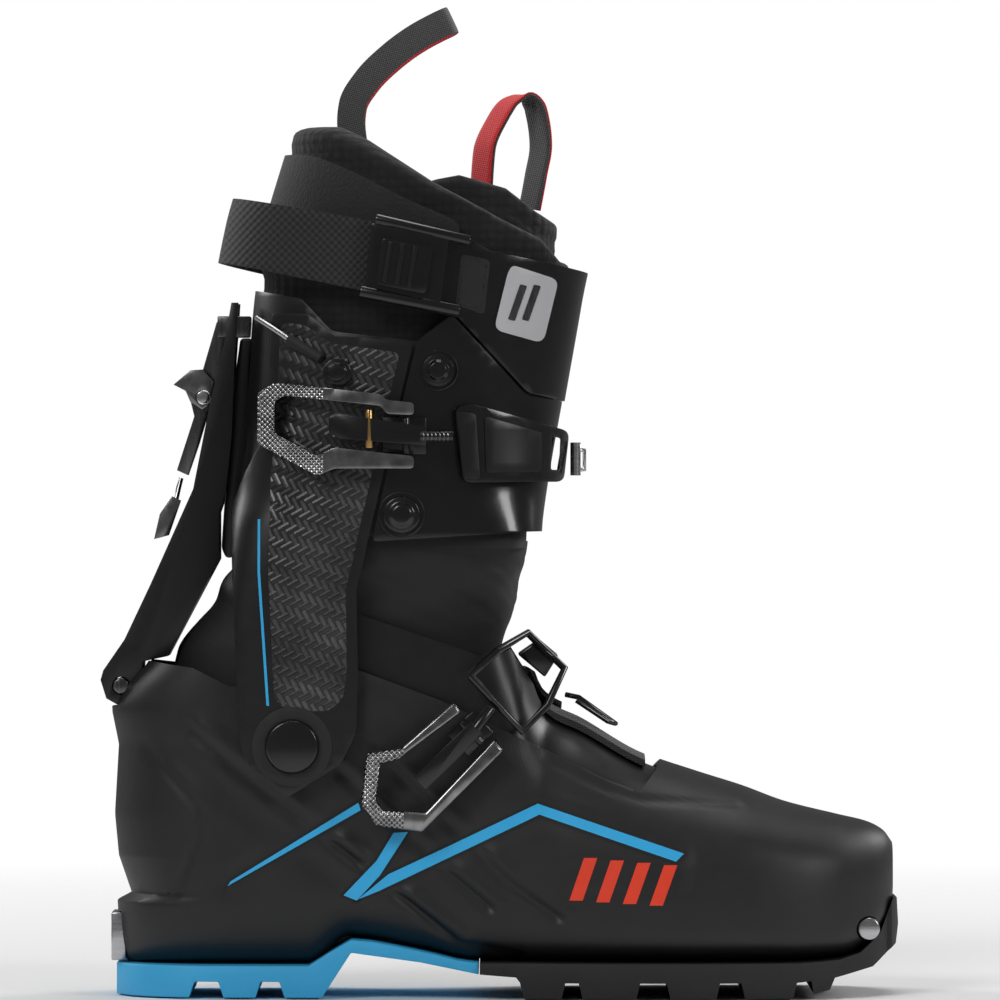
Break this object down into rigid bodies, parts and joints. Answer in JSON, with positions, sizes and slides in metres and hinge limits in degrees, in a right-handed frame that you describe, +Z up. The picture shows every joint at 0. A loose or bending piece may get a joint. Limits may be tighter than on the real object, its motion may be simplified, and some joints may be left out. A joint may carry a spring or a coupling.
{
  "type": "alpine touring boot",
  "caption": "Ski touring boot for the right foot: moulded shell on a lugged sole, hinged cuff with carbon arms, soft liner, two lever buckles, power strap and rear walk lock.",
  "frame": {"origin": "bottom centre of the boot's bounding box, on the ground under the sole", "axes": "+X towards the toe, +Y towards the inner side of the foot, +Z up"},
  "size_m": [0.3028, 0.1128, 0.3747],
  "materials": {
    "shell_black": "fine matte moulded",
    "cuff_black": "satin moulded",
    "gloss_black": "satin gloss",
    "carbon": "clear-coated twill weave",
    "sole_blue": "matte",
    "sole_black": "matte",
    "steel": "bright",
    "gunmetal": "dark polished",
    "liner_fabric": "textured cloth",
    "strap_webbing": "woven",
    "loop_webbing": "heather grey, red inside",
    "badge_silver": "printed"
  },
  "bodies": {
    "boot_base": {"lower_shell": "shell_black", "overlap_flap": "shell_black", "instep_panel": "liner_fabric", "gaiter": "liner_fabric", "foot_liner": "liner_fabric", "heel_outsole": "sole_blue", "forefoot_outsole": "sole_black", "toe_insert_lateral": "steel", "toe_insert_medial": "steel", "heel_fitting": "steel", "pivot_lateral": "gloss_black", "pivot_medial": "gloss_black", "strut_bolt": "steel", "instep_buckle_base": "gloss_black", "instep_ladder": "gloss_black", "instep_strap": "strap_webbing", "cable_loop": "gloss_black"},
    "cuff": {"cuff_shell": "cuff_black", "carbon_arm_lateral": "carbon", "carbon_arm_medial": "carbon", "front_panel": "gloss_black", "front_collar": "gloss_black", "badge": "badge_silver", "rivet_upper_lateral": "gloss_black", "rivet_upper_medial": "gloss_black", "rivet_lower_lateral": "gloss_black", "rivet_lower_medial": "gloss_black", "upper_buckle_base": "gloss_black", "catch_strap": "strap_webbing", "catch_plate": "gloss_black", "catch_hook": "steel", "power_strap": "strap_webbing", "cam_buckle": "gloss_black", "cuff_cable": "steel", "cable_post": "gunmetal", "cuff_liner": "liner_fabric", "liner_tongue": "liner_fabric", "rear_pull_loop": "loop_webbing", "front_pull_loop": "loop_webbing", "lock_bracket": "steel"},
    "rear_strut": {"spine_strut": "shell_black"},
    "lock_lever_body": {"lock_lever": "gunmetal", "lever_bolt": "steel"},
    "lock_catch_body": {"lock_catch": "gunmetal"},
    "pull_tab_body": {"pull_tab": "gunmetal"},
    "upper_lever_body": {"upper_buckle_lever": "gunmetal"},
    "upper_link_body": {"upper_buckle_link": "gloss_black"},
    "cam_flap_body": {"cam_flap": "gloss_black"},
    "instep_lever_body": {"instep_buckle_lever": "gunmetal"},
    "instep_link_body": {"instep_buckle_link": "gloss_black"},
    "instep_bail_body": {"instep_bail": "gloss_black"}
  },
  "joints": [
    {"name": "cuff_pivot", "type": "hinge", "parent": "boot_base", "child": "cuff", "pos_m": [-0.078, 0, 0.0947], "axis": [0, 1, 0], "range_deg": [-6, 20], "deforming": ["gaiter", "foot_liner"]},
    {"name": "strut_pivot", "type": "hinge", "parent": "boot_base", "child": "rear_strut", "pos_m": [-0.1436, 0, 0.1168], "axis": [0, 1, 0], "range_deg": [-6.5, 20.5]},
    {"name": "lock_lever_hinge", "type": "hinge", "parent": "cuff", "child": "lock_lever_body", "pos_m": [-0.105, 0, 0.253], "axis": [0, 1, 0], "range_deg": [0, 110]},
    {"name": "lock_catch_hinge", "type": "hinge", "parent": "lock_lever_body", "child": "lock_catch_body", "pos_m": [-0.1129, 0, 0.2263], "axis": [0, 1, 0], "range_deg": [0, 18], "stiffness_Nm_per_rad": 0.01},
    {"name": "pull_tab_hinge", "type": "hinge", "parent": "lock_lever_body", "child": "pull_tab_body", "pos_m": [-0.1212, 0, 0.196], "axis": [0, 1, 0], "range_deg": [-35, 35]},
    {"name": "upper_buckle_hinge", "type": "hinge", "parent": "cuff", "child": "upper_lever_body", "pos_m": [-0.0352, -0.05034, 0.2113], "axis": [0, 0, 1], "range_deg": [0, 110]},
    {"name": "upper_link_hinge", "type": "hinge", "parent": "upper_lever_body", "child": "upper_link_body", "pos_m": [-0.0489, -0.05347, 0.213], "axis": [0, 0, 1], "range_deg": [-110.5, 0.5]},
    {"name": "cam_flap_hinge", "type": "hinge", "parent": "cuff", "child": "cam_flap_body", "pos_m": [-0.0252, -0.0556, 0.272], "axis": [0, 0, 1], "range_deg": [0, 60]},
    {"name": "instep_buckle_hinge", "type": "hinge", "parent": "boot_base", "child": "instep_lever_body", "pos_m": [-0.01065, -0.0464, 0.0999], "axis": [-0.695, 0, 0.719], "range_deg": [0, 100]},
    {"name": "instep_link_hinge", "type": "hinge", "parent": "instep_lever_body", "child": "instep_link_body", "pos_m": [-0.01928, -0.0486, 0.09156], "axis": [-0.695, 0, 0.719], "range_deg": [-100.5, 0.5]},
    {"name": "instep_bail_hinge", "type": "hinge", "parent": "instep_link_body", "child": "instep_bail_body", "pos_m": [-0.0014, -0.0443, 0.1109], "axis": [0.6802, 0.0211, -0.7327], "range_deg": [0, 50]}
  ],
  "couplings": [
    {"joint": "strut_pivot", "follows": "cuff_pivot", "ratio": 1},
    {"joint": "upper_link_hinge", "follows": "upper_buckle_hinge", "ratio": -1},
    {"joint": "instep_link_hinge", "follows": "instep_buckle_hinge", "ratio": -1}
  ]
}
